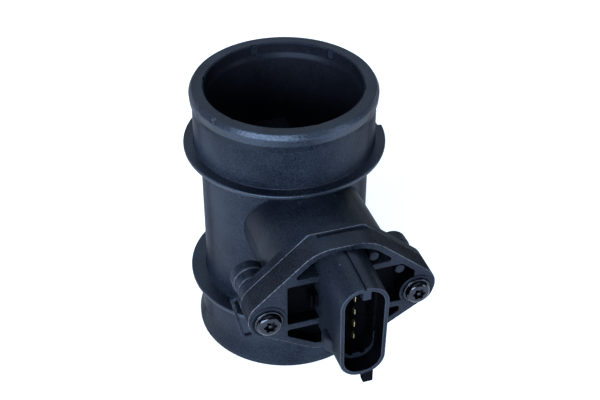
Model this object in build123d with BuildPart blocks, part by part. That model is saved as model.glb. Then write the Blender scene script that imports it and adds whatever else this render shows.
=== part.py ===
from build123d import *
import os

os.makedirs("parts", exist_ok=True)

# ---------------------------------------------------------------------------
# Mass airflow sensor: a plug-in measuring probe bolted to a moulded air tube.
# Origin on the tube's axis in the plane of its lower end.  +Z runs up the tube,
# and the probe's branch points towards -Y.  All sizes are in millimetres.
# ---------------------------------------------------------------------------

# Air tube
tube_length = 110.2
body_radius = 31.8
spigot_radius = 34.1
bead_radius = 35.0
lower_bead_radius = 35.7
bead_width = 4.7
bead_taper = 2.6
collar_radius = 38.1
collar_thickness = 1.9
upper_spigot_length = 23.4
lower_spigot_length = 24.7
bore_radius = 28.4
mouth_radius = 29.3
mouth_depth = 4.2
notch_count = 6
notch_width = 2.6
notch_depth = 0.8
notch_angle = 36.0

# Branch that carries the probe
branch_level = 65.0
branch_half_width = 22.8
branch_half_height = 20.7
branch_root = 20.0
branch_bore = 18.0
edge_thickness = 0.95
pry_width = 2.25
pry_depth = 2.2
pry_left = 7.3
pry_right = 10.4

# Keyed bolting flange, shared by the housing and the probe
joint_plane = 58.85
housing_flange = 4.15
probe_flange = 9.35
flange_top = 21.5
flange_bottom = 22.75
top_half = 10.0
shoulder_slope = 0.88
heel_slope = 0.60
screw_half_span = 27.15
screw_drop = 5.0
screw_ring_radius = 6.65
end_reach = 7.15
heel_drop = 8.3
top_round = 16.0
outer_top_round = 1.0
rear_top_round = 24.0
end_round = 8.2
heel_round = 8.2
bottom_round = 9.0
rim_wall = 2.5
pocket_depth = 5.0
rib_width = 2.6
upper_rib_rise = 9.6
lower_rib_drop = 9.8
pocket_reach = 20.2
low_pocket_reach = 21.0
top_pocket_reach = 16.8
post_radius = 1.75
core_post_x = 10.5
core_post_rise = 14.4
side_post_x = 20.4
side_post_rise = 6.2
stub_rib_x = 9.6
stub_rib_gap = 1.8
stub_rib_width = 0.7
stub_rib_height = 5.4
stub_rib_rise = 4.6
stub_rib_drop = 0.7

# Screw bosses on the housing
boss_length = 12.6
boss_radius = 6.1
fin_reach = 1.8
fin_width = 1.1
fin_depth = 1.6
fin_root = 1.8
fin_height = 18.3
fin_foot = 5.3
fin_toe = 3.0

# Screws
screw_hole_radius = 2.6
screw_shank_radius = 2.0
screw_length = 19.0
head_radius = 5.1
head_height = 2.8
recess_radius = 2.35
recess_depth = 1.6
thread_clearance = 0.02
screw_hole_spare = 1.0

# Plug socket
rim_plane = 88.0
socket_width = 17.2
socket_height = 38.6
socket_round = 7.6
socket_wall = 1.5
socket_floor = 74.5
socket_step = 81.5
seat_width = 11.6
seat_height = 30.2
seat_round = 4.5
key_x = 1.1
key_width = 2.9
key_height = 3.8
key_setback = 1.4
groove_x = -0.3
groove_width = 1.0
groove_depth = 0.6
lug_x = 2.3
lug_width = 3.6
lug_height = 4.5
lug_length = 7.0
wedge_level = 55.0
wedge_plane = 76.0
wedge_height = 9.0
wedge_length = 8.0
wedge_reach = 1.2

# Terminals
pin_count = 4
pin_pitch = 5.63
pin_x = -0.5
pin_tip = 80.3
pin_width = 2.8
pin_thickness = 0.8
pin_point = 1.2
mould_clearance = 0.02

# Probe neck and its seal
neck_radius = 17.7
neck_end = 47.0
groove_plane = 54.0
ring_groove_width = 3.4
ring_groove_radius = 15.9
ring_width = 2.8
seal_clearance = 0.02

# Measuring arm across the duct
arm_tip = 20.3
arm_half_width = 6.6
arm_half_height = 16.2
arm_wall = 1.6
tip_wall = 2.6
seat_clearance = 0.05

# Electronics compartment
bay_start = 44.0
bay_end = 8.5
bay_half_height = 13.0
bay_floor = -4.2
lid_thickness = 2.0
lid_lap = 1.3
ledge_length = 5.5
plate_gap = 0.3

# Bypass duct in the arm's tip
duct_leg = 6.4
duct_divider = 6.6
duct_centre_rise = 4.5
duct_floor = -5.0
duct_cover_thickness = 1.5
duct_cover_lap = 1.1
duct_end_wall = 4.0
outlet_height = 8.0
outlet_margin = 0.8

# Electronics
plate_thickness = 1.5
board_thickness = 0.7
board_margin = 0.7
board_end_gap = 1.0
chip_size = 7.2
chip_height = 1.3
chip_y = -26.0
chip_rise = 5.0
driver_length = 5.0
driver_width = 4.0
driver_height = 1.1
driver_y = -24.5
driver_drop = 6.5
capacitor_count = 4
capacitor_length = 2.2
capacitor_width = 1.3
capacitor_height = 1.1
capacitor_pitch = 4.6
capacitor_y = -33.0
resistor_count = 5
resistor_length = 1.7
resistor_width = 0.9
resistor_height = 0.5
resistor_pitch = 3.6
resistor_y = -17.0
bond_width = 0.7
bond_thickness = 0.25
bond_rise = 0.6
bond_foot = 1.0
tongue_thickness = 1.2
tongue_height = 5.0
tongue_seat = 4.5
tongue_tip_gap = 1.6
element_length = 3.6
element_height = 2.8
element_thickness = 0.5

# Levels and planes that follow from the sizes above
lower_collar = lower_spigot_length
upper_collar = tube_length - upper_spigot_length - collar_thickness
front_plane = joint_plane + probe_flange
flange_end_x = screw_half_span + end_reach
top_z = branch_level + flange_top
bottom_z = branch_level - flange_bottom
shoulder_z = top_z - (flange_end_x - top_half) * shoulder_slope
heel_z = branch_level - heel_drop
bottom_half = flange_end_x - (heel_z - bottom_z) / heel_slope
screw_z = branch_level - screw_drop
housing_back = joint_plane - housing_flange
lid_face = arm_half_width - lid_thickness
board_face = bay_floor + plate_thickness + board_thickness
ledge_face = pin_x - pin_thickness / 2
plate_face = bay_floor + plate_thickness
tongue_face = plate_face + tongue_thickness
duct_cover_face = arm_half_width - duct_cover_thickness
bay_deep = bay_start - ledge_length
tongue_start = -bay_end - tongue_seat
board_start = -bay_deep + plate_gap + board_margin
board_stop = tongue_start - board_end_gap
board_half_height = bay_half_height - plate_gap - board_margin
duct_outer = arm_tip - tip_wall
duct_inner = duct_outer - 2 * duct_leg - duct_divider
duct_mid = (duct_outer + duct_inner) / 2
duct_rise = branch_level + duct_centre_rise
duct_bend = (duct_outer - duct_inner) / 2
arm_bottom = branch_level - arm_half_height
socket_length = rim_plane - front_plane + pocket_depth
socket_top = branch_level + socket_height / 2
socket_bottom = branch_level - socket_height / 2
stub_ribs = [(-stub_rib_x - i * stub_rib_gap, branch_level - stub_rib_drop) for i in range(2)]
screw_places = [(-screw_half_span, screw_z), (screw_half_span, screw_z)]
pin_levels = [branch_level + (i - (pin_count - 1) / 2) * pin_pitch for i in range(pin_count)]


def keyed_outline(top, end, heel, bottom):
    """The flange's keyed outline, with one rounding for each pair of corners."""
    with BuildSketch() as outline:
        with BuildLine():
            Polyline(
                (top_half, top_z),
                (flange_end_x, shoulder_z),
                (flange_end_x, heel_z),
                (bottom_half, bottom_z),
                (-bottom_half, bottom_z),
                (-flange_end_x, heel_z),
                (-flange_end_x, shoulder_z),
                (-top_half, top_z),
                close=True,
            )
        make_face()
        fillet(outline.vertices().group_by(Axis.Y)[1], radius=heel)
        fillet(outline.vertices().group_by(Axis.Y)[-2], radius=end)
        fillet(outline.vertices().group_by(Axis.Y)[-1], radius=top)
        fillet(outline.vertices().group_by(Axis.Y)[0], radius=bottom)
    return outline.sketch


def front(depth):
    """A sketch plane facing -Y, this far in front of the tube's axis."""
    return Plane.XZ.offset(depth)


def side(level):
    """A sketch plane facing +X, with local x along +Y and local y along +Z."""
    return Plane(origin=(level, 0, 0), x_dir=(0, 1, 0), z_dir=(1, 0, 0))


# ---------------------------------------------------------------------------
# Air tube: beaded hose spigots, two collars, the branch and its bolting flange
# ---------------------------------------------------------------------------
with BuildPart() as tube_housing:
    with BuildSketch(Plane.XZ):
        with BuildLine():
            Polyline(
                (0, 0),
                (lower_bead_radius, 0),
                (lower_bead_radius, bead_width),
                (spigot_radius, bead_width + bead_taper),
                (spigot_radius, lower_collar),
                (collar_radius, lower_collar),
                (collar_radius, lower_collar + collar_thickness),
                (body_radius, lower_collar + collar_thickness),
                (body_radius, upper_collar),
                (collar_radius, upper_collar),
                (collar_radius, upper_collar + collar_thickness),
                (spigot_radius, upper_collar + collar_thickness),
                (spigot_radius, tube_length - bead_width - bead_taper),
                (bead_radius, tube_length - bead_width),
                (bead_radius, tube_length),
                (0, tube_length),
                close=True,
            )
        make_face()
    revolve(axis=Axis.Z)
    # Oval branch and the bolting flange, whose top is cut away where the branch runs out
    with BuildSketch(front(branch_root)):
        with Locations((0, branch_level)):
            SlotOverall(2 * branch_half_width, 2 * branch_half_height)
    extrude(amount=housing_back - branch_root)
    with BuildSketch(front(housing_back)):
        add(keyed_outline(rear_top_round, end_round, heel_round, bottom_round))
    extrude(amount=housing_flange - edge_thickness)
    with BuildSketch(front(joint_plane)):
        add(keyed_outline(outer_top_round, end_round, heel_round, bottom_round))
    extrude(amount=-edge_thickness)
    # Screw bosses behind the flange
    with BuildSketch(front(housing_back)):
        with Locations(*screw_places):
            Circle(boss_radius)
    extrude(amount=-boss_length)
    # Bent hook that hangs from the flange's left end
    with BuildSketch(front(housing_back - fin_depth / 2)):
        with BuildLine():
            Polyline(
                (-flange_end_x + fin_root, screw_z + fin_reach),
                (-flange_end_x - fin_reach, screw_z),
                (-screw_half_span - fin_foot, screw_z - fin_height),
                (-screw_half_span - fin_foot + fin_toe, screw_z - fin_height),
            )
        trace(line_width=fin_width)
    extrude(amount=fin_depth / 2, both=True)
    # Air duct with its two wider mouths
    with BuildSketch(Plane.XY):
        Circle(bore_radius)
    extrude(amount=tube_length, mode=Mode.SUBTRACT)
    with BuildSketch(Plane.XY, Plane.XY.offset(tube_length - mouth_depth)):
        Circle(mouth_radius)
    extrude(amount=mouth_depth, mode=Mode.SUBTRACT)
    with BuildSketch(Plane.XY.offset(tube_length - mouth_depth)):
        with PolarLocations(mouth_radius, notch_count, start_angle=notch_angle):
            Rectangle(2 * notch_depth, notch_width)
    extrude(amount=mouth_depth, mode=Mode.SUBTRACT)
    # Bore for the probe and blind holes for its screws
    with BuildSketch(Plane.XZ):
        with Locations((0, branch_level)):
            Circle(branch_bore)
    extrude(amount=joint_plane, mode=Mode.SUBTRACT)
    with BuildSketch(front(joint_plane)):
        with Locations(*screw_places):
            Circle(screw_shank_radius + thread_clearance)
    extrude(amount=-(screw_length - probe_flange + screw_hole_spare), mode=Mode.SUBTRACT)
tube_housing.part.label = "tube_housing"
export_step(tube_housing.part, "parts/tube_housing.step")

# ---------------------------------------------------------------------------
# Probe body: bolting flange, plug socket, sealing neck and measuring arm, all
# moulded as one piece, with open bays for the electronics and the bypass duct
# ---------------------------------------------------------------------------
with BuildPart() as probe_body:
    with BuildSketch(front(joint_plane)):
        add(keyed_outline(top_round, end_round, heel_round, bottom_round))
    extrude(amount=probe_flange)
    # Slot in the top edge, where a blade lifts the probe off its seat
    with BuildSketch(front(joint_plane)):
        with Locations((-pry_left, top_z - pry_depth)):
            Rectangle(pry_left + pry_right, 2 * pry_depth, align=(Align.MIN, Align.MIN))
    extrude(amount=pry_width, mode=Mode.SUBTRACT)
    # Moulded pockets that leave the rim, ribs, screw rings and posts standing
    with BuildSketch(front(front_plane)):
        add(keyed_outline(top_round, end_round, heel_round, bottom_round))
        offset(amount=-rim_wall)
        with Locations((0, branch_level + upper_rib_rise), (0, branch_level - lower_rib_drop)):
            Rectangle(2 * flange_end_x, rib_width, mode=Mode.SUBTRACT)
        with Locations((-pocket_reach, branch_level)):
            Rectangle(flange_end_x, 2 * flange_bottom, align=(Align.MAX, Align.CENTER), mode=Mode.SUBTRACT)
        with Locations((low_pocket_reach, branch_level - lower_rib_drop)):
            Rectangle(flange_end_x, flange_bottom, align=(Align.MIN, Align.MAX), mode=Mode.SUBTRACT)
        with Locations((-top_pocket_reach, branch_level + upper_rib_rise)):
            Rectangle(flange_end_x, flange_top, align=(Align.MAX, Align.MIN), mode=Mode.SUBTRACT)
        with Locations((top_pocket_reach, branch_level + upper_rib_rise)):
            Rectangle(flange_end_x, flange_top, align=(Align.MIN, Align.MIN), mode=Mode.SUBTRACT)
        with Locations(*screw_places):
            Circle(screw_ring_radius, mode=Mode.SUBTRACT)
        with Locations((core_post_x, branch_level + core_post_rise), (side_post_x, branch_level + side_post_rise)):
            Circle(post_radius, mode=Mode.SUBTRACT)
    extrude(amount=-pocket_depth, mode=Mode.SUBTRACT)
    # Two small ribs on the pocket's floor beside the socket
    with BuildSketch(front(front_plane - pocket_depth)):
        with Locations(*stub_ribs):
            Rectangle(stub_rib_width, stub_rib_height)
    extrude(amount=stub_rib_rise)
    # Plug socket
    with BuildSketch(front(front_plane - pocket_depth)):
        with Locations((0, branch_level)):
            RectangleRounded(socket_width, socket_height, socket_round)
    extrude(amount=socket_length)
    with BuildSketch(front(rim_plane)):
        with Locations((0, branch_level)):
            RectangleRounded(
                socket_width - 2 * socket_wall,
                socket_height - 2 * socket_wall,
                socket_round - socket_wall,
            )
    extrude(amount=socket_step - rim_plane, mode=Mode.SUBTRACT)
    # Narrower seat round the terminals, below a step in the socket's wall
    with BuildSketch(front(socket_step)):
        with Locations((0, branch_level)):
            RectangleRounded(seat_width, seat_height, seat_round)
    extrude(amount=socket_floor - socket_step, mode=Mode.SUBTRACT)
    # Coding key inside the socket, seam groove above it and catch below it
    with BuildSketch(front(socket_floor)):
        with Locations((key_x, socket_top - socket_wall / 2)):
            Rectangle(key_width, key_height + socket_wall / 2, align=(Align.CENTER, Align.MAX))
    extrude(amount=rim_plane - key_setback - socket_floor)
    with BuildSketch(front(front_plane)):
        with Locations((groove_x, socket_top - groove_depth)):
            Rectangle(groove_width, 2 * groove_depth, align=(Align.CENTER, Align.MIN))
    extrude(amount=rim_plane - front_plane, mode=Mode.SUBTRACT)
    with BuildSketch(side(lug_x)):
        with BuildLine():
            Polyline(
                (-rim_plane, socket_bottom + socket_wall / 2),
                (-rim_plane, socket_bottom - lug_height),
                (-rim_plane + lug_length / 3, socket_bottom - lug_height),
                (-rim_plane + lug_length, socket_bottom + socket_wall / 2),
                close=True,
            )
        make_face()
    extrude(amount=lug_width / 2, both=True)
    # Small guide wedge on the socket's left wall
    with BuildSketch(Plane.XY.offset(wedge_level)):
        with BuildLine():
            Polyline(
                (-socket_width / 2 + socket_wall / 2, -wedge_plane),
                (-socket_width / 2 - wedge_reach, -wedge_plane),
                (-socket_width / 2 - wedge_reach, -wedge_plane - wedge_length / 2),
                (-socket_width / 2 + socket_wall / 2, -wedge_plane - wedge_length),
                close=True,
            )
        make_face()
    extrude(amount=wedge_height)
    # Sealing neck with its ring groove, and the arm that crosses the duct
    with BuildSketch(front(neck_end)):
        with Locations((0, branch_level)):
            Circle(neck_radius)
    extrude(amount=joint_plane - neck_end)
    with BuildSketch(front(groove_plane - ring_groove_width / 2)):
        with Locations((0, branch_level)):
            Circle(branch_bore)
            Circle(ring_groove_radius, mode=Mode.SUBTRACT)
    extrude(amount=ring_groove_width, mode=Mode.SUBTRACT)
    with BuildSketch(front(neck_end)):
        with Locations((0, branch_level)):
            Rectangle(2 * arm_half_width, 2 * arm_half_height)
    extrude(amount=-(neck_end + arm_tip))
    # Electronics bay, its terminal ledge and the rebate for its lid
    with BuildSketch(side(arm_half_width)):
        with Locations((-bay_end, branch_level)):
            Rectangle(bay_deep - bay_end, 2 * bay_half_height, align=(Align.MAX, Align.CENTER))
    extrude(amount=bay_floor - arm_half_width, mode=Mode.SUBTRACT)
    with BuildSketch(side(arm_half_width)):
        with Locations((-bay_end, branch_level)):
            Rectangle(bay_start - bay_end, 2 * bay_half_height, align=(Align.MAX, Align.CENTER))
    extrude(amount=ledge_face - arm_half_width, mode=Mode.SUBTRACT)
    with BuildSketch(side(arm_half_width)):
        with Locations((-(bay_start + bay_end) / 2, branch_level)):
            Rectangle(bay_start - bay_end + 2 * lid_lap, 2 * bay_half_height + 2 * lid_lap)
    extrude(amount=-lid_thickness, mode=Mode.SUBTRACT)
    # Bypass duct: up the outer leg, round the bend and down past the element
    with BuildSketch(side(arm_half_width)):
        with Locations((duct_mid, duct_rise)):
            Circle(duct_bend)
        with Locations((duct_outer, arm_bottom)):
            Rectangle(duct_leg, duct_rise - arm_bottom, align=(Align.MAX, Align.MIN))
        with Locations((duct_inner, arm_bottom + duct_end_wall)):
            Rectangle(duct_leg, duct_rise - arm_bottom - duct_end_wall, align=(Align.MIN, Align.MIN))
        with Locations((duct_mid, duct_rise)):
            Circle(duct_divider / 2, mode=Mode.SUBTRACT)
            Rectangle(duct_divider, duct_bend, align=(Align.CENTER, Align.MAX), mode=Mode.SUBTRACT)
    extrude(amount=duct_floor - arm_half_width, mode=Mode.SUBTRACT)
    with BuildSketch(side(arm_half_width)):
        with Locations((duct_mid, duct_rise)):
            Circle(duct_bend + duct_cover_lap)
            Rectangle(
                2 * (duct_bend + duct_cover_lap),
                duct_rise - arm_bottom,
                align=(Align.CENTER, Align.MAX),
            )
    extrude(amount=-duct_cover_thickness, mode=Mode.SUBTRACT)
    # Slot that leads the element's carrier from the bay into the duct
    with BuildSketch(front(bay_end)):
        with Locations((plate_face + tongue_thickness / 2, branch_level)):
            Rectangle(tongue_thickness + 2 * seat_clearance, tongue_height + 2 * seat_clearance)
    extrude(amount=-(bay_end + duct_inner), mode=Mode.SUBTRACT)
    # Slots of the moulded-in terminals and the clearance holes for the screws
    with BuildSketch(front(socket_floor)):
        with Locations(*[(pin_x, level) for level in pin_levels]):
            Rectangle(pin_thickness + 2 * mould_clearance, pin_width + 2 * mould_clearance)
    extrude(amount=bay_start - socket_floor, mode=Mode.SUBTRACT)
    with BuildSketch(front(front_plane)):
        with Locations(*screw_places):
            Circle(screw_hole_radius)
    extrude(amount=-probe_flange, mode=Mode.SUBTRACT)
probe_body.part.label = "probe_body"
export_step(probe_body.part, "parts/probe_body.step")

# ---------------------------------------------------------------------------
# Four blade terminals, from the open socket to the ledge in the bay
# ---------------------------------------------------------------------------
for number, level in enumerate(pin_levels, start=1):
    with BuildPart() as terminal:
        with BuildSketch(side(ledge_face)):
            with BuildLine():
                Polyline(
                    (-pin_tip, level - pin_width / 2 + pin_point / 2),
                    (-pin_tip + pin_point, level - pin_width / 2),
                    (-bay_deep, level - pin_width / 2),
                    (-bay_deep, level + pin_width / 2),
                    (-pin_tip + pin_point, level + pin_width / 2),
                    (-pin_tip, level + pin_width / 2 - pin_point / 2),
                    close=True,
                )
            make_face()
        extrude(amount=pin_thickness)
    terminal.part.label = f"terminal_{number}"
    export_step(terminal.part, f"parts/terminal_{number}.step")

# ---------------------------------------------------------------------------
# Rubber ring that seals the neck in the branch, shown squeezed in its groove
# ---------------------------------------------------------------------------
ring_depth = branch_bore - ring_groove_radius - 2 * seal_clearance
with BuildPart() as seal_ring:
    with BuildSketch(side(0)):
        with Locations((-groove_plane, branch_level + ring_groove_radius + seal_clearance + ring_depth / 2)):
            Rectangle(ring_width, ring_depth)
    revolve(axis=Axis((0, 0, branch_level), (0, 1, 0)))
seal_ring.part.label = "seal_ring"
export_step(seal_ring.part, "parts/seal_ring.step")

# ---------------------------------------------------------------------------
# Two tamper-proof pan-head screws
# ---------------------------------------------------------------------------
with BuildPart() as flange_screws:
    with BuildSketch(front(front_plane)):
        with Locations(*screw_places):
            Circle(head_radius)
    extrude(amount=head_height)
    with BuildSketch(front(front_plane)):
        with Locations(*screw_places):
            Circle(screw_shank_radius)
    extrude(amount=-screw_length)
    with BuildSketch(front(front_plane + head_height)):
        with Locations(*screw_places):
            RegularPolygon(recess_radius, 6)
    extrude(amount=-recess_depth, mode=Mode.SUBTRACT)
flange_screws.part.label = "flange_screws"
export_step(flange_screws.part, "parts/flange_screws.step")

# ---------------------------------------------------------------------------
# Metal base plate, ceramic board and the parts soldered to the board
# ---------------------------------------------------------------------------
with BuildPart() as base_plate:
    with BuildSketch(side(bay_floor)):
        with Locations((-(bay_deep + bay_end) / 2, branch_level)):
            Rectangle(bay_deep - bay_end - 2 * plate_gap, 2 * (bay_half_height - plate_gap))
    extrude(amount=plate_thickness)
base_plate.part.label = "base_plate"
export_step(base_plate.part, "parts/base_plate.step")

with BuildPart() as circuit_board:
    with BuildSketch(side(plate_face)):
        with Locations(((board_start + board_stop) / 2, branch_level)):
            Rectangle(board_stop - board_start, 2 * board_half_height)
    extrude(amount=board_thickness)
circuit_board.part.label = "circuit_board"
export_step(circuit_board.part, "parts/circuit_board.step")

with BuildPart() as control_chip:
    with BuildSketch(side(board_face)):
        with Locations((chip_y, branch_level + chip_rise)):
            Rectangle(chip_size, chip_size)
    extrude(amount=chip_height)
control_chip.part.label = "control_chip"
export_step(control_chip.part, "parts/control_chip.step")

with BuildPart() as driver_chip:
    with BuildSketch(side(board_face)):
        with Locations((driver_y, branch_level - driver_drop)):
            Rectangle(driver_width, driver_length)
    extrude(amount=driver_height)
driver_chip.part.label = "driver_chip"
export_step(driver_chip.part, "parts/driver_chip.step")

with BuildPart() as capacitors:
    with BuildSketch(side(board_face)):
        with Locations((capacitor_y, branch_level)):
            with GridLocations(capacitor_pitch, capacitor_pitch, 1, capacitor_count):
                Rectangle(capacitor_length, capacitor_width)
    extrude(amount=capacitor_height)
capacitors.part.label = "capacitors"
export_step(capacitors.part, "parts/capacitors.step")

with BuildPart() as resistors:
    with BuildSketch(side(board_face)):
        with Locations((resistor_y, branch_level)):
            with GridLocations(resistor_pitch, resistor_pitch, 1, resistor_count):
                Rectangle(resistor_length, resistor_width)
    extrude(amount=resistor_height)
resistors.part.label = "resistors"
export_step(resistors.part, "parts/resistors.step")

# ---------------------------------------------------------------------------
# Ribbon bonds from the terminals to the board
# ---------------------------------------------------------------------------
terminal_bond = ledge_face + pin_thickness + bond_thickness / 2
board_bond = board_face + bond_thickness / 2
with BuildPart() as ribbon_bonds:
    for level in pin_levels:
        with BuildSketch(Plane.XY.offset(level)):
            with BuildLine():
                Polyline(
                    (terminal_bond, -bay_deep - 2 * bond_foot),
                    (terminal_bond, -bay_deep - bond_foot),
                    (terminal_bond + bond_rise, -bay_deep),
                    (board_bond, board_start + bond_foot),
                    (board_bond, board_start + 2 * bond_foot),
                )
            trace(line_width=bond_thickness)
        extrude(amount=bond_width / 2, both=True)
ribbon_bonds.part.label = "ribbon_bonds"
export_step(ribbon_bonds.part, "parts/ribbon_bonds.step")

# ---------------------------------------------------------------------------
# Hot-film element on its carrier, which reaches out of the bay into the duct
# ---------------------------------------------------------------------------
tongue_stop = duct_inner + duct_leg - tongue_tip_gap
with BuildPart() as element_carrier:
    with BuildSketch(side(plate_face)):
        with Locations((tongue_start, branch_level)):
            Rectangle(tongue_stop - tongue_start, tongue_height, align=(Align.MIN, Align.CENTER))
    extrude(amount=tongue_thickness)
    with BuildSketch(side(tongue_face)):
        with Locations((duct_inner + duct_leg / 2, branch_level)):
            Rectangle(element_length + 2 * seat_clearance, element_height + 2 * seat_clearance)
    extrude(amount=-element_thickness, mode=Mode.SUBTRACT)
element_carrier.part.label = "element_carrier"
export_step(element_carrier.part, "parts/element_carrier.step")

with BuildPart() as hot_film_element:
    with BuildSketch(side(tongue_face)):
        with Locations((duct_inner + duct_leg / 2, branch_level)):
            Rectangle(element_length, element_height)
    extrude(amount=-element_thickness)
hot_film_element.part.label = "hot_film_element"
export_step(hot_film_element.part, "parts/hot_film_element.step")

# ---------------------------------------------------------------------------
# Lid of the electronics bay and cover of the bypass duct, set flush in the arm
# ---------------------------------------------------------------------------
with BuildPart() as bay_lid:
    with BuildSketch(side(lid_face)):
        with Locations((-(bay_start + bay_end) / 2, branch_level)):
            Rectangle(
                bay_start - bay_end + 2 * (lid_lap - seat_clearance),
                2 * (bay_half_height + lid_lap - seat_clearance),
            )
    extrude(amount=lid_thickness)
bay_lid.part.label = "bay_lid"
export_step(bay_lid.part, "parts/bay_lid.step")

with BuildPart() as duct_cover:
    with BuildSketch(side(duct_cover_face)):
        with Locations((duct_mid, duct_rise)):
            Circle(duct_bend + duct_cover_lap - seat_clearance)
            Rectangle(
                2 * (duct_bend + duct_cover_lap - seat_clearance),
                duct_rise - arm_bottom,
                align=(Align.CENTER, Align.MAX),
            )
        with Locations((duct_inner + duct_leg / 2, arm_bottom + duct_end_wall)):
            Rectangle(
                duct_leg - 2 * outlet_margin,
                outlet_height,
                align=(Align.CENTER, Align.MIN),
                mode=Mode.SUBTRACT,
            )
    extrude(amount=duct_cover_thickness)
duct_cover.part.label = "duct_cover"
export_step(duct_cover.part, "parts/duct_cover.step")
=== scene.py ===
import math

import bmesh
import bpy
from mathutils import Matrix, Vector


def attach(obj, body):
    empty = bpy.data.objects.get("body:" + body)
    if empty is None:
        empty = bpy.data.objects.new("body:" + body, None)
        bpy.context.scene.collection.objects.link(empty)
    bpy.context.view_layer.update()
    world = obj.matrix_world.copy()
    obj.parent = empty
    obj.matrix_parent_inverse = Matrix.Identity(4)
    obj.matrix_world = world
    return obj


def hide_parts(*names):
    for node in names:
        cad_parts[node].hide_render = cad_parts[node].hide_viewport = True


# ---------------------------------------------------------------------------
# Mass airflow sensor: a plug-in measuring probe bolted to a moulded air tube.
# Lengths are given in millimetres and turned into metres when a mesh is made;
# lights are placed in metres.
# ---------------------------------------------------------------------------
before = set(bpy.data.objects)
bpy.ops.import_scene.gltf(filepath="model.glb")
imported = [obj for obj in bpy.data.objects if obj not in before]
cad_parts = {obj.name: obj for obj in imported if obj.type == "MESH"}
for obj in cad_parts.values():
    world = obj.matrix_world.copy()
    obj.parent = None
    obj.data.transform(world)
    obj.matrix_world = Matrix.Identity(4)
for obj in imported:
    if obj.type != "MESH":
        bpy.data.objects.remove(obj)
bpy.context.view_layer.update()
scene = bpy.context.scene
millimetre = 0.001

# ---------------------------------------------------------------------------
# Camera: looks down at the flange from in front and a little to its left.
# ---------------------------------------------------------------------------
camera_turn = math.radians(-17.13)
camera_distance = 355.24
camera_height = 328.34
camera_pitch = 0.6537
camera_yaw = 0.0169
camera_roll = 0.0034
focal_pixels = 1136.79
picture_width = 600
sensor_width = 36.0

ahead = Vector((
    math.sin(camera_yaw) * math.cos(camera_pitch),
    math.cos(camera_yaw) * math.cos(camera_pitch),
    -math.sin(camera_pitch),
))
level_right = ahead.cross(Vector((0, 0, 1))).normalized()
level_up = level_right.cross(ahead)
right = math.cos(camera_roll) * level_right + math.sin(camera_roll) * level_up
upward = math.cos(camera_roll) * level_up - math.sin(camera_roll) * level_right
turn = Matrix.Rotation(camera_turn, 3, "Z")
camera_data = bpy.data.cameras.new("camera")
camera_data.sensor_width = sensor_width
camera_data.lens = focal_pixels * sensor_width / picture_width
camera_data.clip_start = 0.01
camera = bpy.data.objects.new("camera", camera_data)
camera_place = Matrix((turn @ right, turn @ upward, turn @ -ahead)).transposed().to_4x4()
camera_place.translation = turn @ Vector((0, -camera_distance, camera_height)) * millimetre
camera.matrix_world = camera_place
scene.collection.objects.link(camera)
scene.camera = camera


# ---------------------------------------------------------------------------
# Pale studio floor that glows faintly, in bluish light.  A wide low panel in
# front, panels above and behind, and a narrow strip at the right light the part.
# ---------------------------------------------------------------------------
def link_object(name, mesh):
    """Puts a finished mesh in the scene under its own name."""
    piece = bpy.data.objects.new(name, mesh)
    scene.collection.objects.link(piece)
    return piece


def mesh_from(name, points, faces):
    """A mesh of points in millimetres, with its faces turned outwards."""
    mesh = bpy.data.meshes.new(name)
    mesh.from_pydata([Vector(point) * millimetre for point in points], [], faces)
    work = bmesh.new()
    work.from_mesh(mesh)
    bmesh.ops.recalc_face_normals(work, faces=work.faces)
    work.to_mesh(mesh)
    work.free()
    return mesh


def tune(node, values):
    """Sets a node's inputs, given by their names."""
    for label, value in values.items():
        node.inputs[label].default_value = value


def join(giver, output, taker, entry):
    """Links an output of one node to an input of another."""
    giver.id_data.links.new(giver.outputs[output], taker.inputs[entry])


def new_finish(name):
    """A new material, with its nodes and its shader."""
    finish = bpy.data.materials.new(name)
    finish.use_nodes = True
    nodes = finish.node_tree.nodes
    return finish, nodes, nodes["Principled BSDF"]


def soft_panel(name, place, target, width, height, power, colour):
    """A soft rectangular light that faces its target."""
    light = bpy.data.lights.new(name, "AREA")
    light.shape = "RECTANGLE"
    light.size = width
    light.size_y = height
    light.energy = power
    light.color = colour
    holder = bpy.data.objects.new(name, light)
    holder.location = Vector(place)
    holder.rotation_euler = (Vector(target) - Vector(place)).to_track_quat("-Z", "Y").to_euler()
    scene.collection.objects.link(holder)


floor_half = 9000.0
floor_points = [(x * floor_half, y * floor_half, 0) for x, y in ((-1, -1), (1, -1), (1, 1), (-1, 1))]
floor = link_object("studio_floor", mesh_from("studio_floor", floor_points, [(0, 1, 2, 3)]))
floor_finish, floor_nodes, floor_shader = new_finish("studio_floor")
tune(floor_shader, {"Roughness": 0.9, "Specular IOR Level": 0.1})
tune(floor_shader, {"Emission Color": (0.82, 0.89, 1.0, 1), "Emission Strength": 0.66})
floor_mottle = floor_nodes.new("ShaderNodeTexNoise")
tune(floor_mottle, {"Scale": 6.0})
floor_tone = floor_nodes.new("ShaderNodeMix")
floor_tone.data_type = "RGBA"
tune(floor_tone, {"A": (0.86, 0.89, 0.94, 1), "B": (0.88, 0.91, 0.96, 1)})
floor_place = floor_nodes.new("ShaderNodeTexCoord")
join(floor_place, "Object", floor_mottle, "Vector")
join(floor_mottle, "Fac", floor_tone, "Factor")
join(floor_tone, "Result", floor_shader, "Base Color")
floor.data.materials.append(floor_finish)

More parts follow.
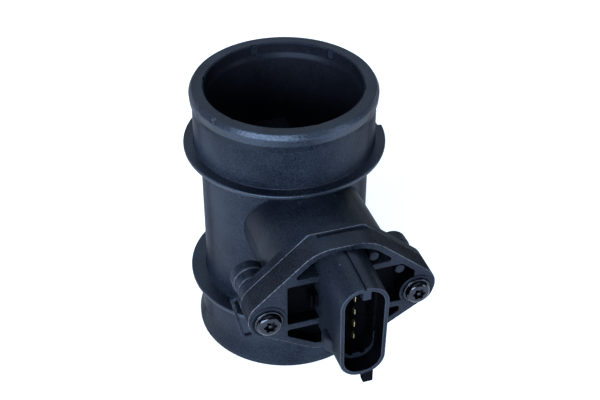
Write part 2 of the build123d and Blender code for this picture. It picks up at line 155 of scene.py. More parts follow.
daylight = (0.72, 0.85, 1.0)
world = bpy.data.worlds.new("studio")
scene.world = world
world.use_nodes = True
tune(world.node_tree.nodes["Background"], {"Color": (*daylight, 1), "Strength": 0.12})
scene.view_settings.view_transform = "Standard"
object_middle = (0.0, -0.02, 0.06)
rim_middle = (0.0, -0.01, 0.1)
front_light = (0.74, 0.86, 1.0)
side_light = (0.8, 0.9, 1.0)
back_light = (0.7, 0.84, 1.0)
soft_panel(
    "top_panel", (-0.1, 0.1, 1.1), object_middle, width=1.5, height=1.5, power=4.0, colour=daylight
)
soft_panel(
    "front_panel", (-0.68, -0.9, 0.42), rim_middle, width=1.4, height=0.5, power=30.0, colour=front_light
)
soft_panel(
    "side_strip", (0.85, -0.75, 0.24), object_middle, width=0.2, height=0.5, power=3.0, colour=side_light
)
soft_panel(
    "back_panel", (0.25, 0.95, 0.85), object_middle, width=1.2, height=0.8, power=6.5, colour=back_light
)


# ---------------------------------------------------------------------------
# Air tube: one injection moulding in black glass-filled plastic.  It has two
# beaded hose spigots, two collars, an oval branch and a keyed bolting flange.
# ---------------------------------------------------------------------------
def moulded_plastic(name, deep, pale, shine, grain_size, grain_depth, level=0.15):
    """Fine-grained moulded plastic with faint clouding, dust and a change of gloss."""
    fleck_weight = 1.2
    pit_share = 0.55
    dust_gain = 8.0
    brightest_dust = 0.9
    edge_share = 0.06
    finish, nodes, shader = new_finish(name)
    tune(shader, {"Specular Tint": (0.58, 0.73, 1.0, 1)})
    place = nodes.new("ShaderNodeTexCoord")
    cloud = nodes.new("ShaderNodeTexNoise")
    tune(cloud, {"Scale": 45.0, "Detail": 6.0})
    fleck = nodes.new("ShaderNodeTexNoise")
    tune(fleck, {"Scale": 1.0 / (grain_size * millimetre), "Detail": 3.0, "Roughness": 0.6})
    pit = nodes.new("ShaderNodeTexVoronoi")
    tune(pit, {"Scale": pit_share / (grain_size * millimetre)})
    for texture in (cloud, fleck, pit):
        join(place, "Object", texture, "Vector")
    blend = nodes.new("ShaderNodeMath")
    blend.operation = "MULTIPLY_ADD"
    blend.inputs[1].default_value = fleck_weight
    join(fleck, "Fac", blend, 0)
    join(cloud, "Fac", blend, 2)
    tone = nodes.new("ShaderNodeMapRange")
    tune(tone, {"From Min": 0.9, "From Max": 1.35})
    join(blend, "Value", tone, "Value")
    colour = nodes.new("ShaderNodeMix")
    colour.data_type = "RGBA"
    tune(colour, {"A": (*deep, 1), "B": (*pale, 1)})
    join(tone, "Result", colour, "Factor")
    speck = nodes.new("ShaderNodeTexNoise")
    tune(speck, {"Scale": 620.0, "Detail": 2.0})
    speck_edge = nodes.new("ShaderNodeMapRange")
    tune(speck_edge, {"From Min": 0.77, "From Max": 0.84})
    dusted = nodes.new("ShaderNodeMix")
    dusted.data_type = "RGBA"
    tune(dusted, {"B": (*(min(dust_gain * value, brightest_dust) for value in pale), 1)})
    join(place, "Object", speck, "Vector")
    join(speck, "Fac", speck_edge, "Value")
    join(speck_edge, "Result", dusted, "Factor")
    join(colour, "Result", dusted, "A")
    join(dusted, "Result", shader, "Base Color")
    gloss = nodes.new("ShaderNodeMapRange")
    tune(gloss, {"From Min": 0.36, "From Max": 0.64, "To Min": shine - 0.03, "To Max": shine + 0.07})
    join(fleck, "Fac", gloss, "Value")
    join(gloss, "Result", shader, "Roughness")
    facing = nodes.new("ShaderNodeLayerWeight")
    fade = nodes.new("ShaderNodeMapRange")
    tune(fade, {"From Min": 0.34, "From Max": 0.7, "To Min": level, "To Max": edge_share * level})
    join(facing, "Facing", fade, "Value")
    join(fade, "Result", shader, "Specular IOR Level")
    height = nodes.new("ShaderNodeMath")
    height.operation = "ADD"
    join(fleck, "Fac", height, 0)
    join(pit, "Distance", height, 1)
    bump = nodes.new("ShaderNodeBump")
    tune(bump, {"Strength": 0.6, "Distance": grain_depth * millimetre})
    join(height, "Value", bump, "Height")
    join(bump, "Normal", shader, "Normal")
    return finish


def rounded_path(corners, steps, closed=True):
    """Points of a path whose corners, each (across, along, radius), are rounded."""
    path = []
    count = len(corners)
    for index, (across, along, radius) in enumerate(corners):
        here = Vector((across, along))
        if radius <= 0 or (not closed and index in (0, count - 1)):
            path.append(here)
            continue
        before = Vector(corners[index - 1][:2]) - here
        after = Vector(corners[(index + 1) % count][:2]) - here
        before.normalize()
        after.normalize()
        half_angle = math.acos(max(-1.0, min(1.0, before.dot(after)))) / 2
        reach = radius / math.tan(half_angle)
        centre = here + (before + after).normalized() * radius / math.sin(half_angle)
        start = here + before * reach - centre
        sweep = start.angle_signed(here + after * reach - centre)
        for step in range(steps + 1):
            path.append(centre + Matrix.Rotation(-sweep * step / steps, 2) @ start)
    return path


tiny = 1e-6


def lathe_mesh(name, path, segments, axis_point=None):
    """Turns a path of (radius, level) about Z, or about a Y axis through a point."""
    points = []
    rows = []
    for radius, level in path:
        if radius < tiny:
            rows.append([len(points)] * segments)
            points.append((0, 0, level))
            continue
        rows.append([len(points) + step for step in range(segments)])
        for step in range(segments):
            angle = 2 * math.pi * step / segments
            points.append((radius * math.cos(angle), radius * math.sin(angle), level))
    faces = []
    pairs = zip(rows, rows[1:]) if path[0][0] < tiny else zip(rows, rows[1:] + rows[:1])
    for low, high in pairs:
        for step in range(segments):
            follow = (step + 1) % segments
            corner = []
            for vertex in (low[step], low[follow], high[follow], high[step]):
                if vertex not in corner:
                    corner.append(vertex)
            faces.append(corner)
    if axis_point is not None:
        points = [(axis_point[0] + x, -z, axis_point[1] + y) for x, y, z in points]
    return mesh_from(name, points, faces)


def rod_path(radius, low, high):
    """The path of a plain rod, from one level to another."""
    return [(0, low), (radius, low), (radius, high), (0, high)]


def skin_mesh(name, rings, looped=False):
    """Joins rings with equal numbers of points, and closes both ends."""
    count = len(rings[0])
    points = [point for ring in rings for point in ring]
    faces = []
    for index in range(len(rings) if looped else len(rings) - 1):
        here = index * count
        above = (index + 1) % len(rings) * count
        for step in range(count):
            follow = (step + 1) % count
            faces.append((here + step, here + follow, above + follow, above + step))
    if not looped:
        faces.append(tuple(range(count)))
        faces.append(tuple(range(len(points) - count, len(points))))
    return mesh_from(name, points, faces)


def drawn_in(corners, inset):
    """The corners of an outline moved inwards, with their rounds made to match."""
    moved = []
    count = len(corners)
    area = sum(
        corners[index - 1][0] * corners[index][1] - corners[index][0] * corners[index - 1][1]
        for index in range(count)
    )
    facing = 1 if area > 0 else -1
    for index, (x, z, radius) in enumerate(corners):
        here = Vector((x, z))
        before = (here - Vector(corners[index - 1][:2])).normalized()
        after = (Vector(corners[(index + 1) % count][:2]) - here).normalized()
        inward = facing * (Vector((-before.y, before.x)) + Vector((-after.y, after.x)))
        place = here + inward * inset / (inward.length_squared / 2)
        moved.append((place.x, place.y, max(radius - inset, 0.06) if radius > 0 else 0))
    return moved


def stacked_mesh(name, corners, steps, axis="Y", fineness=6):
    """A plate built of one outline at each (depth, inset), closed at both ends."""
    rings = []
    for depth, inset in steps:
        path = rounded_path(drawn_in(corners, inset), fineness)
        if axis == "Y":
            rings.append([(point.x, -depth, point.y) for point in path])
        elif axis == "X":
            rings.append([(depth, point.x, point.y) for point in path])
        else:
            rings.append([(point.x, point.y, depth) for point in path])
    return skin_mesh(name, rings)


def bevelled(low, high, edge):
    """The steps of a plate whose two ends are bevelled."""
    return [(low, edge), (low + edge, 0.0), (high - edge, 0.0), (high, edge)]


def box_corners(middle_x, middle_y, width, height, radius=0.0):
    """The four corners of a rounded rectangle."""
    signs = ((1, 1), (-1, 1), (-1, -1), (1, -1))
    return [(middle_x + sx * width / 2, middle_y + sy * height / 2, radius) for sx, sy in signs]


def baked(holder):
    """The mesh of an object with its modifiers applied; the object itself goes."""
    mesh = bpy.data.meshes.new_from_object(holder.evaluated_get(bpy.context.evaluated_depsgraph_get()))
    bpy.data.objects.remove(holder)
    return mesh


def combine(base, tool, operation):
    """Adds a solid to the base or cuts it away, and leaves one closed mesh."""
    holder = link_object("base", base)
    cutter = link_object("tool", tool)
    action = holder.modifiers.new("combine", "BOOLEAN")
    action.solver = "MANIFOLD"
    action.operation = operation
    action.object = cutter
    result = baked(holder)
    bpy.data.objects.remove(cutter)
    return result


def finish_piece(name, mesh, finish, nodes, crease=28.0):
    """Smooths a mesh, gives it its finish and lets it stand for its CAD nodes."""
    mesh.name = name
    mesh.materials.clear()
    mesh.materials.append(finish)
    mesh.shade_smooth()
    mesh.set_sharp_from_angle(angle=math.radians(crease))
    holder = link_object(name, mesh)
    weighting = holder.modifiers.new("weighting", "WEIGHTED_NORMAL")
    weighting.keep_sharp = True
    piece = link_object(name, baked(holder))
    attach(piece, "root")
    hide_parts(*nodes)
    return piece


def paint_faces(piece, finish, chosen):
    """Gives a second finish to the faces that a rule picks out by place and direction."""
    piece.data.materials.append(finish)
    index = len(piece.data.materials) - 1
    for face in piece.data.polygons:
        if chosen(face.center / millimetre, face.normal):
            face.material_index = index


housing_plastic = moulded_plastic(
    "housing_plastic",
    deep=(0.003, 0.005, 0.009),
    pale=(0.018, 0.023, 0.036),
    shine=0.37,
    grain_size=0.55,
    grain_depth=0.06,
)
tube_length = 110.2
body_radius = 31.8
spigot_radius = 34.1
bead_radius = 35.0
lower_bead_radius = 35.7
bead_width = 4.7
bead_taper = 2.6
collar_radius = 38.1
collar_thickness = 1.9
lower_collar = 24.7
upper_collar = 84.9
bore_radius = 28.4
mouth_radius = 29.3
mouth_depth = 4.2
lower_bead_face = 2.4
lower_flare = 8.6
crown_drop = 1.9
crown_lean = 0.2
rim_lean = 1.1
collar_under_round = 0.85
collar_top_round = 0.6
spigot_foot_round = 0.4
body_foot_round = 0.8
around = 256
outer_path = rounded_path(
    [
        (0, 0, 0),
        (lower_bead_radius, 0, 0.7),
        (lower_bead_radius, lower_bead_face, 1.5),
        (spigot_radius, lower_flare, 6.0),
        (spigot_radius, lower_collar, spigot_foot_round),
        (collar_radius, lower_collar, collar_under_round),
        (collar_radius, lower_collar + collar_thickness, collar_top_round),
        (body_radius, lower_collar + collar_thickness, body_foot_round),
        (body_radius, upper_collar, body_foot_round),
        (collar_radius, upper_collar, collar_under_round),
        (collar_radius, upper_collar + collar_thickness, collar_top_round),
        (spigot_radius, upper_collar + collar_thickness, spigot_foot_round),
        (spigot_radius, tube_length - bead_width - bead_taper, 1.5),
        (bead_radius - crown_lean, tube_length - bead_width, 0.35),
        (bead_radius, tube_length - crown_drop, 1.8),
        (bead_radius - rim_lean, tube_length, 0.6),
        (0, tube_length, 0),
    ],
    5,
    closed=False,
)
tube_mesh = lathe_mesh("tube", outer_path, around)

# The upper collar is cut away over a short stretch on the right
gap_start = math.radians(-6.0)
gap_end = math.radians(20.0)
gap_reach = 3.0
gap_lift = 0.001
gap_rise = 2.0
gap_corners = []
for angle, radius in (
    (gap_start, spigot_radius),
    (gap_start, collar_radius + gap_reach),
    (gap_end, collar_radius + gap_reach),
    (gap_end, spigot_radius),
):
    gap_corners.append((radius * math.cos(angle), radius * math.sin(angle), 0))
gap_top = upper_collar + collar_thickness + gap_rise
gap_steps = [(upper_collar + gap_lift, 0.0), (gap_top, 0.0)]
tube_mesh = combine(tube_mesh, stacked_mesh("gap", gap_corners, gap_steps, axis="Z"), "DIFFERENCE")

# The oval branch, and the round where it runs into the tube
branch_level = 65.0
branch_half_width = 22.8
branch_root = 20.0
branch_root_rise = 19.9
joint_plane = 58.85
housing_back = 54.7
flange_top = 21.5
branch_turns = 160
branch_ring_count = 16
branch_ring_gap = 2.2
branch_sink = 0.5
junction_round = 1.8
junction_bite = 0.05
junction_root = 2.0
junction_steps = 6


def branch_rise(depth):
    """Half the branch's height at a distance in front of the tube's axis."""
    share = (depth - branch_root) / (housing_back - branch_root)
    return branch_root_rise + (flange_top - branch_root_rise) * share


branch_rings = []
branch_depths = [branch_root + branch_ring_gap * step for step in range(branch_ring_count)]
for depth in branch_depths + [housing_back + branch_sink]:
    ring = []
    for step in range(branch_turns):
        angle = 2 * math.pi * step / branch_turns
        ring.append((
            branch_half_width * math.cos(angle),
            -depth,
            branch_level + branch_rise(depth) * math.sin(angle),
        ))
    branch_rings.append(ring)
tube_mesh = combine(tube_mesh, skin_mesh("branch", branch_rings), "UNION")

junction_rings = []
for step in range(branch_turns):
    angle = 2 * math.pi * step / branch_turns
    across = branch_half_width * math.cos(angle)
    rise = branch_rise(math.sqrt(body_radius**2 - across**2))
    outward = Vector((math.cos(angle) / branch_half_width, 0, math.sin(angle) / rise)).normalized()
    gap = junction_round - junction_bite
    centre = Vector((across, 0, branch_level + rise * math.sin(angle))) + outward * gap
    centre.y = -math.sqrt((body_radius + gap) ** 2 - centre.x**2)
    tube_outward = Vector((centre.x, centre.y, 0)).normalized()
    ring = []
    for part in range(junction_steps + 1):
        ring.append(centre - outward.slerp(tube_outward, part / junction_steps) * junction_round)
    ring.append(centre - (outward + tube_outward).normalized() * (junction_round + junction_root))
    junction_rings.append(ring)
tube_mesh = combine(tube_mesh, skin_mesh("junction", junction_rings, looped=True), "UNION")

# The keyed flange, thinner in its top edge where the branch runs out into it
flange_bottom = 22.75
top_half = 10.0
shoulder_slope = 0.88
heel_slope = 0.60
screw_half_span = 27.15
screw_drop = 5.0
end_reach = 7.15
heel_drop = 8.3
edge_plane = 57.9
end_round = 8.2
heel_round = 8.2
bottom_round = 9.0
rear_top_round = 24.0
edge_top_round = 1.0


def keyed_corners(top_round):
    """The flange's keyed outline, with the given round at its two top corners."""
    end_x = screw_half_span + end_reach
    top_z = branch_level + flange_top
    bottom_z = branch_level - flange_bottom
    shoulder_z = top_z - (end_x - top_half) * shoulder_slope
    heel_z = branch_level - heel_drop
    bottom_half = end_x - (heel_z - bottom_z) / heel_slope
    half = [
        (top_half, top_z, top_round),
        (end_x, shoulder_z, end_round),
        (end_x, heel_z, heel_round),
        (bottom_half, bottom_z, bottom_round),
    ]
    return half + [(-x, z, radius) for x, z, radius in reversed(half)]


rear_steps = [
    (housing_back, 0.5),
    (housing_back + 0.15, 0.15),
    (housing_back + 0.5, 0.0),
    (edge_plane + 0.3, 0.0),
]
edge_steps = [
    (edge_plane, 0.15),
    (edge_plane + 0.15, 0.0),
    (joint_plane - 0.12, 0.0),
    (joint_plane, 0.12),
]
rear_plate = stacked_mesh("rear_plate", keyed_corners(rear_top_round), rear_steps, fineness=12)
edge_plate = stacked_mesh("edge_plate", keyed_corners(edge_top_round), edge_steps, fineness=12)
tube_mesh = combine(tube_mesh, rear_plate, "UNION")
tube_mesh = combine(tube_mesh, edge_plate, "UNION")

# Screw bosses in three bands, and the bent hook below the left one
screw_level = branch_level - screw_drop
screw_places = [(-screw_half_span, screw_level), (screw_half_span, screw_level)]
boss_radius = 6.45
boss_step = 0.4
boss_band = 4.2
boss_bands = 3
boss_lip = 0.1
boss_sink = 0.6
boss_back = housing_back - boss_bands * boss_band
boss_corners = [(0, boss_back, 0), (boss_radius, boss_back, 0.5)]
for band in range(1, boss_bands):
    level = boss_back + band * boss_band
    next_radius = boss_radius - band * boss_step
    boss_corners += [(next_radius + boss_step + boss_lip, level, 0.1), (next_radius, level, 0.25)]
boss_corners += [(next_radius, housing_back + boss_sink, 0), (0, housing_back + boss_sink, 0)]
boss_path = rounded_path(boss_corners, 4, closed=False)
for place in screw_places:
    boss = lathe_mesh("boss", boss_path, 96, place)
    tube_mesh = combine(tube_mesh, boss, "UNION")

hook_line = [Vector(point) for point in ((-32.5, 61.8), (-36.1, 60.0), (-32.45, 41.7), (-29.45, 41.7))]
hook_width = 1.1
hook_back = 53.1
hook_round = 0.3
hook_edge = 0.15
hook_ways = [(end - start).normalized() for start, end in zip(hook_line, hook_line[1:])]
hook_sides = ([], [])
for point, before, after in zip(hook_line, hook_ways[:1] + hook_ways, hook_ways + hook_ways[-1:]):
    across = Vector((-before.y, before.x)) + Vector((-after.y, after.x))
    shift = across * hook_width / 2 / (across.length_squared / 2)
    hook_sides[0].append((*(point + shift), hook_round))
    hook_sides[1].append((*(point - shift), hook_round))
hook_steps = bevelled(hook_back, housing_back, hook_edge)
hook = stacked_mesh("hook", hook_sides[0] + hook_sides[1][::-1], hook_steps)
tube_mesh = combine(tube_mesh, hook, "UNION")

# The air duct with its wider mouths, and the bore for the probe's neck
mouth_flare = 0.8
mouth_lead = 2.0
overcut = 1.0
duct_path = rounded_path(
    [
        (0, -overcut, 0),
        (mouth_radius + mouth_flare, -overcut, 0),
        (mouth_radius + mouth_flare, -0.1, 0),
        (mouth_radius, 0.4, 0.3),
        (mouth_radius, mouth_depth, 0.2),
        (bore_radius, mouth_depth, 0.25),
        (bore_radius, tube_length - mouth_depth - mouth_lead, 3.0),
        (mouth_radius, tube_length - mouth_depth, 2.0),
        (mouth_radius, tube_length - 0.4, 0.3),
        (mouth_radius + mouth_flare, tube_length + 0.1, 0),
        (mouth_radius + mouth_flare, tube_length + overcut, 0),
        (0, tube_length + overcut, 0),
    ],
    4,
    closed=False,
)
tube_mesh = combine(tube_mesh, lathe_mesh("duct", duct_path, around), "DIFFERENCE")
neck_bore = 18.0
neck_lead = 0.5
neck_bore_end = 63.0
bore_path = [
    (0, 0),
    (neck_bore, 0),
    (neck_bore, joint_plane - 0.4),
    (neck_bore + neck_lead, joint_plane + 0.1),
    (neck_bore + neck_lead, neck_bore_end),
    (0, neck_bore_end),
]
tube_mesh = combine(tube_mesh, lathe_mesh("bore", bore_path, 160, (0, branch_level)), "DIFFERENCE")


def grown(name, seed_mesh, tree, values):
    """Runs a node tree on a mesh, and gives the result as a plain mesh."""
    holder = link_object(name, seed_mesh)
    modifier = holder.modifiers.new("growth", "NODES")
    modifier.node_group = tree
    for item in tree.interface.items_tree:
        if item.item_type == "SOCKET" and item.in_out == "INPUT" and item.name in values:
            modifier[item.identifier] = values[item.name]
    return baked(holder)


def open_tree(name, inputs):
    """A node tree with geometry in and out and the given inputs, and its two ends."""
    tree = bpy.data.node_groups.new(name, "GeometryNodeTree")
    tree.interface.new_socket("Geometry", in_out="INPUT", socket_type="NodeSocketGeometry")
    for label, kind in inputs.items():
        tree.interface.new_socket(label, in_out="INPUT", socket_type=kind)
    tree.interface.new_socket("Geometry", in_out="OUTPUT", socket_type="NodeSocketGeometry")
    return tree, tree.nodes.new("NodeGroupInput"), tree.nodes.new("NodeGroupOutput")


def close_tree(tree, entry, result, points, finish):
    """Sets copies of the incoming piece on points, and covers them with a finish."""
    copies = tree.nodes.new("GeometryNodeInstanceOnPoints")
    real = tree.nodes.new("GeometryNodeRealizeInstances")
    cover = tree.nodes.new("GeometryNodeSetMaterial")
    tune(cover, {"Material": finish})
    join(points, "Mesh", copies, "Points")
    join(entry, "Geometry", copies, "Instance")
    join(copies, "Instances", real, "Geometry")
    join(real, "Geometry", cover, "Geometry")
    join(cover, "Geometry", result, "Geometry")
    return copies


# Six shallow notches in the wall of the upper mouth, cut by a ring of blocks
ring_inputs = {"Count": "NodeSocketInt", "Radius": "NodeSocketFloat"}
ring_tree, ring_entry, ring_result = open_tree("ring_of_notches", ring_inputs)
ring_circle = ring_tree.nodes.new("GeometryNodeMeshCircle")
ring_position = ring_tree.nodes.new("GeometryNodeInputPosition")
ring_turn = ring_tree.nodes.new("FunctionNodeAlignRotationToVector")
ring_turn.axis = "X"
ring_turn.pivot_axis = "Z"
join(ring_entry, "Count", ring_circle, "Vertices")
join(ring_entry, "Radius", ring_circle, "Radius")
join(ring_position, "Position", ring_turn, "Vector")
ring_copies = close_tree(ring_tree, ring_entry, ring_result, ring_circle, housing_plastic)
join(ring_turn, "Rotation", ring_copies, "Rotation")
notch_angle = 36.0
notch_count = 6
notch_depth = 1.6
notch_width = 2.6
notch_steps = [(tube_length - mouth_depth, 0.0), (tube_length + overcut, 0.0)]
notch = stacked_mesh("notch", box_corners(0, 0, notch_depth, notch_width, 0.3), notch_steps, axis="Z")
notches = grown("notches", notch, ring_tree, {"Count": notch_count, "Radius": mouth_radius * millimetre})
notches.transform(Matrix.Rotation(math.radians(notch_angle), 4, "Z"))
tube_mesh = combine(tube_mesh, notches, "DIFFERENCE")

# Blind holes for the screws
thread_hole_floor = 48.2
thread_hole_radius = 2.02
hole_path = rod_path(thread_hole_radius, thread_hole_floor, joint_plane + overcut)
for place in screw_places:
    hole = lathe_mesh("hole", hole_path, 48, place)
    tube_mesh = combine(tube_mesh, hole, "DIFFERENCE")

air_tube = finish_piece("air_tube", tube_mesh, housing_plastic, ["tube_housing"])

# Finishes of the worn rims, of the duct's wall, painted darker as shade, and of the moulded edges, painted
# bright as highlights
worn_plastic = moulded_plastic(
    "worn_plastic",
    deep=(0.005, 0.007, 0.011),
    pale=(0.024, 0.03, 0.044),
    shine=0.34,
    grain_size=0.5,
    grain_depth=0.08,
    level=0.55,
)
# Darker plastic for the duct's inside: painted shade, where little light reaches
duct_wall_painted_shade = moulded_plastic(
    "duct_wall_painted_shade",
    deep=(0.004, 0.005, 0.008),
    pale=(0.009, 0.01, 0.016),
    shine=0.38,
    grain_size=0.9,
    grain_depth=0.01,
    level=0.11,
)
# Pale plastic for painted highlights on the moulded edges, and for a scratch on the upper rim
edge_highlight_and_scratch = moulded_plastic(
    "edge_highlight_and_scratch",
    deep=(0.018, 0.02, 0.027),
    pale=(0.12, 0.13, 0.16),
    shine=0.3,
    grain_size=0.9,
    grain_depth=0.01,
)
bead_face = 1.4
collar_edge = 0.8
collar_reach = 1.1
branch_clear = 20.0
scratch_place = Vector((-30.7, -15.4, tube_length - 0.3))
scratch_radius = 0.95
boss_area = 7.0


def on_worn_rim(place, facing):
    """The outside of the upper bead, and the collars' edges clear of the branch."""
    reach = place.xy.length
    if place.z > tube_length - bead_width - 0.2 and reach > bead_radius - bead_face and facing.z < 0.96:
        return True
    on_collar = reach > collar_radius - collar_edge and abs(facing.z) < 0.97
    off_middle = min(abs(place.z - collar - 1) for collar in (lower_collar, upper_collar))
    return on_collar and off_middle < collar_reach and -place.y < branch_root + branch_clear


def on_duct_wall(place, facing):
    """The inside of the air duct and of its two mouths, which is painted darker as shade."""
    return place.xy.length < mouth_radius + 0.1 and facing.xy.dot(place.xy) < 0


def on_tube_edge(place, facing):
    """A scratch on the upper rim, and painted highlights on the edge at the joint and on the bosses' steps.
    """
    scratched = (place - scratch_place).length < scratch_radius
    at_joint = joint_plane - 0.15 < -place.y < joint_plane and 0.1 < -facing.y < 0.9
    by_screw = abs(abs(place.x) - screw_half_span) < boss_area
    on_step = housing_back - 8.5 < -place.y < housing_back - 4 and 0.3 < -facing.y < 0.95
    return scratched or at_joint or by_screw and on_step


paint_faces(air_tube, worn_plastic, on_worn_rim)
paint_faces(air_tube, duct_wall_painted_shade, on_duct_wall)
paint_faces(air_tube, edge_highlight_and_scratch, on_tube_edge)

# ---------------------------------------------------------------------------
# Probe body: one moulding in black glass-filled plastic, held by two screws.
# It has the front half of the flange, the plug socket, the sealing neck and
# the arm that hangs across the air duct.
# ---------------------------------------------------------------------------
probe_plastic = moulded_plastic(
    "probe_plastic",
    deep=(0.003, 0.0045, 0.008),
    pale=(0.017, 0.021, 0.032),
    shine=0.36,
    grain_size=0.5,
    grain_depth=0.04,
)
front_top_round = 16.0
front_plane = 68.2
pocket_floor = 63.2
rim_wall = 2.5
tray_steps = [
    (joint_plane, 0.2),
    (joint_plane + 0.06, 0.06),
    (joint_plane + 0.2, 0.0),
    (front_plane - 0.22, 0.0),
    (front_plane - 0.07, 0.07),
    (front_plane, 0.22),
]
probe_mesh = stacked_mesh("probe", keyed_corners(front_top_round), tray_steps, fineness=12)
pry_middle = 1.55
pry_width = 17.7
pry_height = 1.8
pry_depth = 2.25
pry_corners = box_corners(pry_middle, branch_level + flange_top, pry_width, pry_height, 0.2)
pry_steps = [(joint_plane - overcut, 0.0), (joint_plane + pry_depth, 0.0)]
probe_mesh = combine(probe_mesh, stacked_mesh("pry_slot", pry_corners, pry_steps), "DIFFERENCE")

# Three pockets, which leave a rim and two ribs between them
pocket_reach = 20.2
low_pocket_reach = 21.0
top_pocket_reach = 16.8
middle_pocket_reach = 26.0
half_rib = 1.3
upper_rib = branch_level + 9.6
lower_rib = branch_level - 9.8
tip_round = 0.8
slope_round = 0.4
inner = drawn_in(keyed_corners(front_top_round), rim_wall)
inner_top = inner[0]
inner_bottom = inner[3]


def shoulder_at(across):
    """The height of the pockets' sloped upper side."""
    return inner_top[1] - (across - inner_top[0]) * shoulder_slope


def heel_at(across):
    """The height of the pockets' sloped lower side."""
    return inner_bottom[1] + (across - inner_bottom[0]) * heel_slope


middle_tip = inner_top[0] + (inner_top[1] - upper_rib + half_rib) / shoulder_slope
pockets = [
    [
        (top_pocket_reach, upper_rib + half_rib, tip_round),
        (top_pocket_reach, shoulder_at(top_pocket_reach), slope_round),
        inner_top,
        (-inner_top[0], *inner_top[1:]),
        (-top_pocket_reach, shoulder_at(top_pocket_reach), slope_round),
        (-top_pocket_reach, upper_rib + half_rib, tip_round),
    ],
    [
        (-pocket_reach, upper_rib - half_rib, tip_round),
        (-pocket_reach, lower_rib + half_rib, tip_round),
        (middle_pocket_reach, lower_rib + half_rib, tip_round),
        (middle_pocket_reach, shoulder_at(middle_pocket_reach), tip_round),
        (middle_tip, upper_rib - half_rib, tip_round),
    ],
    [
        (low_pocket_reach, lower_rib - half_rib, tip_round),
        (-pocket_reach, lower_rib - half_rib, tip_round),
        (-pocket_reach, heel_at(pocket_reach), tip_round),
        (-inner_bottom[0], *inner_bottom[1:]),
        inner_bottom,
        (low_pocket_reach, heel_at(low_pocket_reach), tip_round),
    ],
]
pocket_steps = [
    (pocket_floor, 0.35),
    (pocket_floor + 0.1, 0.1),
    (pocket_floor + 0.35, 0.0),
    (front_plane - 0.3, 0.0),
    (front_plane - 0.09, -0.09),
    (front_plane + 0.02, -0.32),
]
for corners in pockets:
    pocket = stacked_mesh("pocket", corners, pocket_steps, fineness=10)
    probe_mesh = combine(probe_mesh, pocket, "DIFFERENCE")

# Two small ribs, two posts and the raised rings round the screws
rib_places = (-9.6, -11.4)
rib_width = 0.7
rib_height = 5.4
rib_rise = 4.6
rib_level = branch_level - 0.7
root_plane = pocket_floor - 1.0
rib_steps = [
    (root_plane, 0.0),
    (pocket_floor + rib_rise - 0.15, 0.0),
    (pocket_floor + rib_rise - 0.04, 0.05),
    (pocket_floor + rib_rise, 0.15),
]
for across in rib_places:
    rib_corners = box_corners(across, rib_level, rib_width, rib_height, 0.2)
    probe_mesh = combine(probe_mesh, stacked_mesh("rib", rib_corners, rib_steps, fineness=3), "UNION")
ring_rise = 0.4
ring_radius = 6.5
post_radius = 1.75
studs = [(*place, ring_radius, front_plane + ring_rise) for place in screw_places]
studs += [
    (10.5, branch_level + 14.4, post_radius, front_plane),
    (20.4, branch_level + 6.2, post_radius, front_plane),
]
for across, level, radius, top in studs:
    stud_corners = [(0, root_plane, 0), (radius, root_plane, 0), (radius, top, 0.3), (0, top, 0)]
    stud = lathe_mesh("stud", rounded_path(stud_corners, 5, closed=False), 96, (across, level))
    probe_mesh = combine(probe_mesh, stud, "UNION")
sink_radius = 5.3
sink_lead = 0.2
sink_path = rounded_path(
    [
        (0, front_plane, 0),
        (sink_radius, front_plane, 0),
        (sink_radius, front_plane + ring_rise, 0),
        (sink_radius + sink_lead, front_plane + overcut, 0),
        (0, front_plane + overcut, 0),
    ],
    4,
    closed=False,
)
for place in screw_places:
    sink = lathe_mesh("sink", sink_path, 96, place)
    probe_mesh = combine(probe_mesh, sink, "DIFFERENCE")

# The drafted plug socket with its key, seam groove, catch and guide wedge
socket_rim = 88.0
socket_width = 17.2
socket_height = 38.6
socket_round = 7.6
socket_wall = 1.5
socket_step = 81.5
socket_floor = 74.5
socket_root = 0.5
lower_end_share = 0.93
lower_end_ease = 0.2
socket_draft = math.tan(math.radians(1.4))
socket_corners = box_corners(0, branch_level, socket_width, socket_height, socket_round)
lower_round = socket_round - lower_end_ease
socket_corners[2:] = [(lower_end_share * x, z, lower_round) for x, z, _ in socket_corners[2:]]
socket_steps = [
    (pocket_floor - socket_root, -(socket_rim - pocket_floor + socket_root) * socket_draft),
    (socket_rim - 0.3, 0.0),
    (socket_rim - 0.09, 0.09),
    (socket_rim, 0.3),
    (socket_rim, socket_wall - 0.3),
    (socket_rim - 0.09, socket_wall - 0.09),
    (socket_rim - 0.3, socket_wall),
    (socket_step + 0.2, socket_wall + 0.1),
    (socket_step, socket_wall + 0.3),
]
socket = stacked_mesh("socket", socket_corners, socket_steps, fineness=16)
probe_mesh = combine(probe_mesh, socket, "UNION")
seat_width = 11.6
seat_height = 30.2
seat_round = 4.5
seat_corners = box_corners(0, branch_level, seat_width, seat_height, seat_round)
seat_steps = [
    (socket_floor, 0.3),
    (socket_floor + 0.3, 0.0),
    (socket_step - 0.3, 0.0),
    (socket_step - 0.09, -0.09),
    (socket_step + 0.05, -0.35),
]
seat = stacked_mesh("seat", seat_corners, seat_steps, fineness=12)
probe_mesh = combine(probe_mesh, seat, "DIFFERENCE")
coding_radius = 0.95
coding_path = rod_path(coding_radius, socket_floor + 0.5, socket_step + overcut)
for place in ((5.8, 66.2), (5.8, 59.0), (-1.9, 49.9), (2.3, 49.9)):
    probe_mesh = combine(probe_mesh, lathe_mesh("coding", coding_path, 32, place), "DIFFERENCE")

